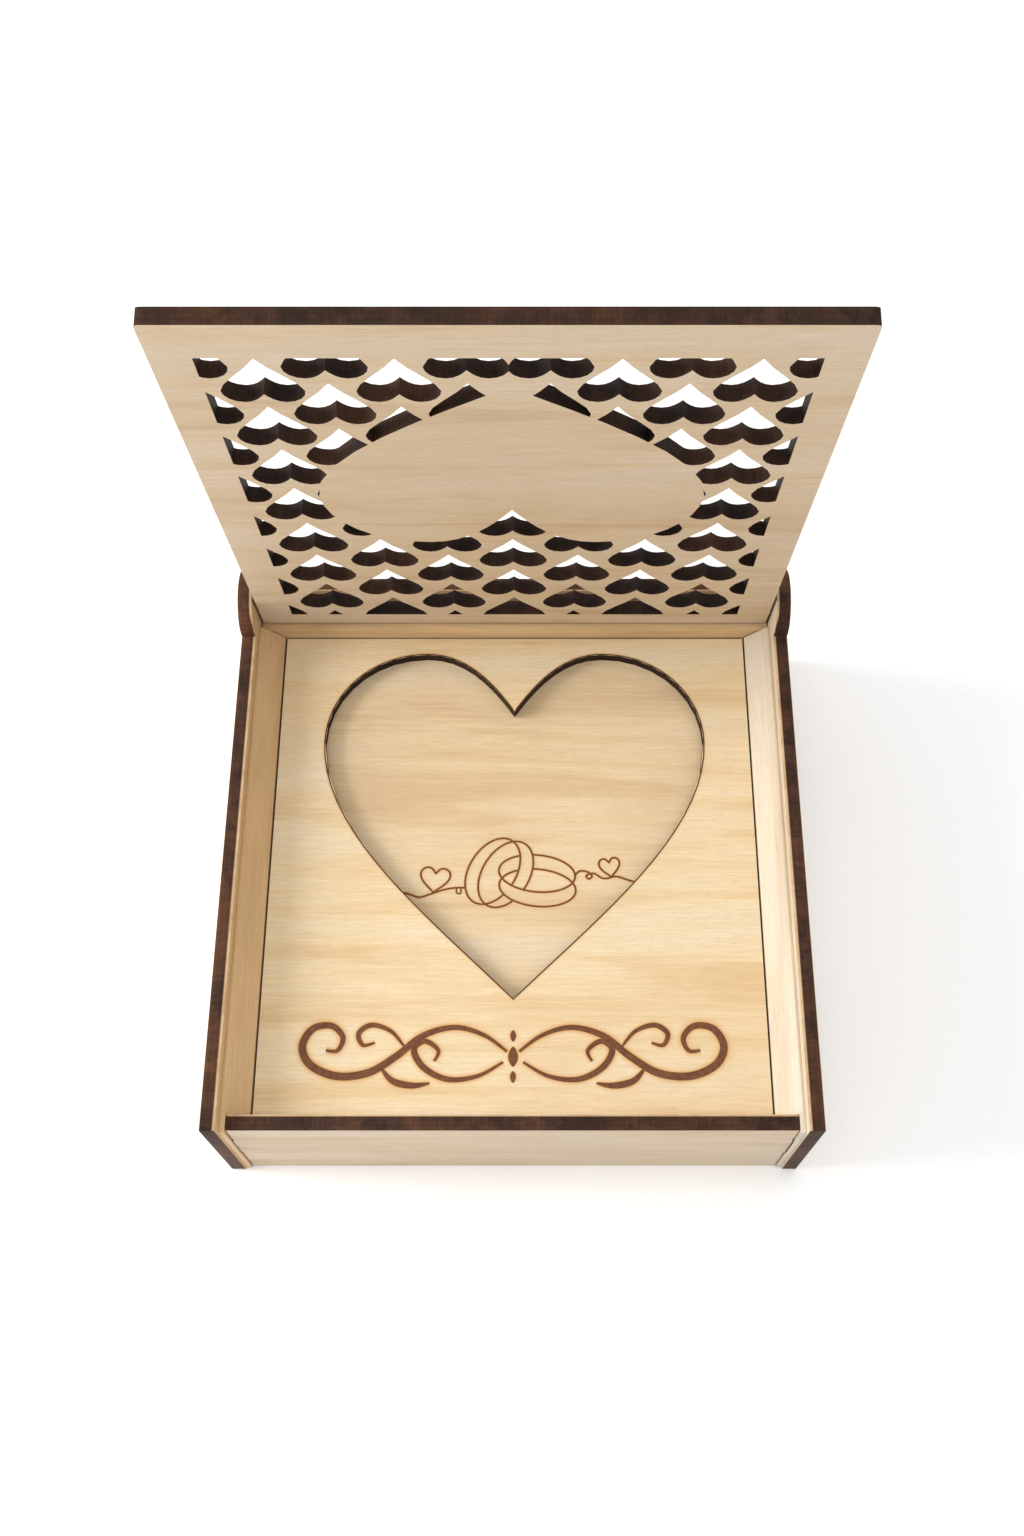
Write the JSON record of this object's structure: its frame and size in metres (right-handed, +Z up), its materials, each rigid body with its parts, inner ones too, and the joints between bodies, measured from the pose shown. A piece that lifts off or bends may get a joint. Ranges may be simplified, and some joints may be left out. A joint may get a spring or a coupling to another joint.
{
  "type": "wind-up music box",
  "caption": "Shallow laser-cut plywood keepsake box with a hinged heart-lattice lid, a heart-shaped tray recess and a wind-up musical movement under the deck.",
  "frame": {"origin": "centre of the footprint on the surface the box stands on", "axes": "+Z up, +Y towards the hinge at the back, +X to the right seen from the front; the lid rests open as in use"},
  "size_m": [0.152, 0.1566, 0.1961],
  "materials": {
    "birch_ply": "raw sanded birch plywood with laser-browned edges",
    "batten": "raw light solid wood",
    "steel": "plain steel",
    "zinc": "dull die-cast zinc",
    "brass": "bright brass",
    "blued_spring_steel": "blued spring steel",
    "nylon": "moulded nylon"
  },
  "bodies": {
    "case": {"side_wall_left": "birch_ply", "side_wall_right": "birch_ply", "front_wall": "birch_ply", "back_wall": "birch_ply", "bottom_plate": "birch_ply", "deck_panel": "birch_ply", "heart_floor": "birch_ply", "side_liner_left": "batten", "side_liner_right": "batten", "rear_liner": "batten", "bed_plate": "zinc", "comb": "steel", "bed_screw_1": "steel", "bed_screw_2": "steel", "bed_screw_3": "steel", "comb_screw_1": "steel", "comb_screw_2": "steel", "governor_screw_1": "steel", "governor_screw_2": "steel", "governor_frame": "zinc"},
    "lid": {"lid_panel": "birch_ply", "hinge_pin_left": "steel", "hinge_pin_right": "steel"},
    "key": {"winding_key": "steel", "winding_arbor": "steel", "clutch_spring": "blued_spring_steel"},
    "barrel": {"spring_barrel": "nylon", "barrel_cap": "zinc", "mainspring": "blued_spring_steel"},
    "drum": {"pinned_drum": "brass", "drum_shaft": "steel", "crown_gear": "nylon", "drum_gear": "nylon"},
    "governor": {"governor_shaft": "steel", "governor_pinion": "nylon", "worm_wheel": "nylon"},
    "fly": {"worm_shaft": "steel", "air_brake_fly": "nylon"}
  },
  "joints": [
    {"name": "lid_hinge", "type": "hinge", "parent": "case", "child": "lid", "pos_m": [0, 0.0681, 0.0463], "axis": [1, 0, 0], "range_deg": [-25, 81]},
    {"name": "key_wind", "type": "hinge", "parent": "case", "child": "key", "pos_m": [-0.0535, -0.0528, 0.005], "axis": [0, 0, 1], "range_deg": [0, 2160]},
    {"name": "drum_spin", "type": "hinge", "parent": "case", "child": "drum", "pos_m": [-0.0395, -0.0528, 0.024], "axis": [1, 0, 0], "continuous": true},
    {"name": "barrel_turn", "type": "hinge", "parent": "case", "child": "barrel", "pos_m": [-0.0535, -0.0528, 0.02], "axis": [0, 0, 1], "continuous": true},
    {"name": "governor_spin", "type": "hinge", "parent": "case", "child": "governor", "pos_m": [-0.0235, -0.06289, 0.0228], "axis": [1, 0, 0], "continuous": true},
    {"name": "fly_spin", "type": "hinge", "parent": "case", "child": "fly", "pos_m": [-0.02375, -0.06769, 0.025], "axis": [0, 0, 1], "continuous": true}
  ],
  "couplings": [
    {"joint": "barrel_turn", "follows": "drum_spin", "ratio": 0.55556},
    {"joint": "governor_spin", "follows": "drum_spin", "ratio": -1.6667},
    {"joint": "fly_spin", "follows": "drum_spin", "ratio": -13.333}
  ]
}
